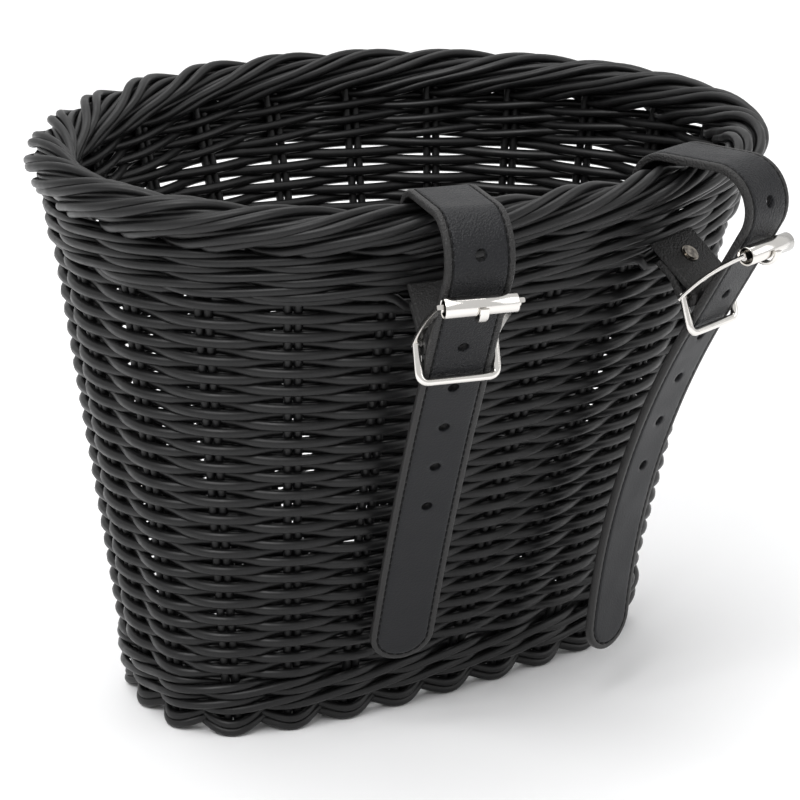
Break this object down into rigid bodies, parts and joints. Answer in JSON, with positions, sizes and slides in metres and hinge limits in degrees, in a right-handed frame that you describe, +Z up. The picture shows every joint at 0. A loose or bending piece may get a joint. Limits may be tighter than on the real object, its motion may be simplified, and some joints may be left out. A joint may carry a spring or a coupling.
{
  "type": "bicycle handlebar basket",
  "caption": "Woven bicycle basket with a rolled rim and a tapered body, hung from a handlebar by buckled leather straps.",
  "frame": {"origin": "on the resting plane, under the middle of the overall box with the straps and buckles", "axes": "+Z up, -Y towards the handlebar and the rider's straps, +X to the right when facing the straps from the -Y side"},
  "size_m": [0.2474, 0.243, 0.1937],
  "materials": {
    "wicker": "soft sheen",
    "leather": "fine grain, soft sheen",
    "thread": "waxed thread",
    "nickel": "polished nickel plate"
  },
  "bodies": {
    "basket": {"base_sticks": "wicker", "base_weave": "wicker", "foot_border": "wicker", "lower_wale": "wicker", "side_stakes": "wicker", "side_weave": "wicker", "upper_wale": "wicker", "rim_border": "wicker", "left_strap_loop": "leather", "left_loop_stitching": "thread", "left_rivet": "nickel", "left_rivet_cap": "nickel", "right_strap_loop": "leather", "right_loop_stitching": "thread", "right_rivet": "nickel", "right_rivet_cap": "nickel"},
    "left_frame": {"left_buckle_frame": "nickel"},
    "left_roller": {"left_buckle_roller": "nickel"},
    "left_prong": {"left_buckle_prong": "nickel"},
    "left_tail": {"left_strap_tail": "leather", "left_tail_stitching": "thread"},
    "right_frame": {"right_buckle_frame": "nickel"},
    "right_roller": {"right_buckle_roller": "nickel"},
    "right_prong": {"right_buckle_prong": "nickel"},
    "right_tail": {"right_strap_tail": "leather", "right_tail_stitching": "thread"}
  },
  "joints": [
    {"name": "left_frame_rock", "type": "hinge", "parent": "basket", "child": "left_frame", "pos_m": [-0.04739, -0.09469, 0.15037], "axis": [0.9533, -0.3021, 0], "range_deg": [-1, 2]},
    {"name": "left_roller_spin", "type": "hinge", "parent": "left_frame", "child": "left_roller", "pos_m": [-0.05391, -0.11527, 0.16706], "axis": [0.9533, -0.3021, 0], "continuous": true},
    {"name": "left_prong_lift", "type": "hinge", "parent": "left_frame", "child": "left_prong", "pos_m": [-0.04739, -0.09469, 0.15037], "axis": [0.9533, -0.3021, 0], "range_deg": [0, 3]},
    {"name": "left_tail_swing", "type": "hinge", "parent": "basket", "child": "left_tail", "pos_m": [-0.04725, -0.09424, 0.13886], "axis": [-0.9533, 0.3021, 0], "range_deg": [0, 45]},
    {"name": "right_frame_rock", "type": "hinge", "parent": "basket", "child": "right_frame", "pos_m": [0.04739, -0.09469, 0.15037], "axis": [0.9533, 0.3021, 0], "range_deg": [-1, 2]},
    {"name": "right_roller_spin", "type": "hinge", "parent": "right_frame", "child": "right_roller", "pos_m": [0.05391, -0.11527, 0.16706], "axis": [0.9533, 0.3021, 0], "continuous": true},
    {"name": "right_prong_lift", "type": "hinge", "parent": "right_frame", "child": "right_prong", "pos_m": [0.04739, -0.09469, 0.15037], "axis": [0.9533, 0.3021, 0], "range_deg": [0, 3]},
    {"name": "right_tail_swing", "type": "hinge", "parent": "basket", "child": "right_tail", "pos_m": [0.04725, -0.09424, 0.13886], "axis": [-0.9533, -0.3021, 0], "range_deg": [0, 45]}
  ]
}
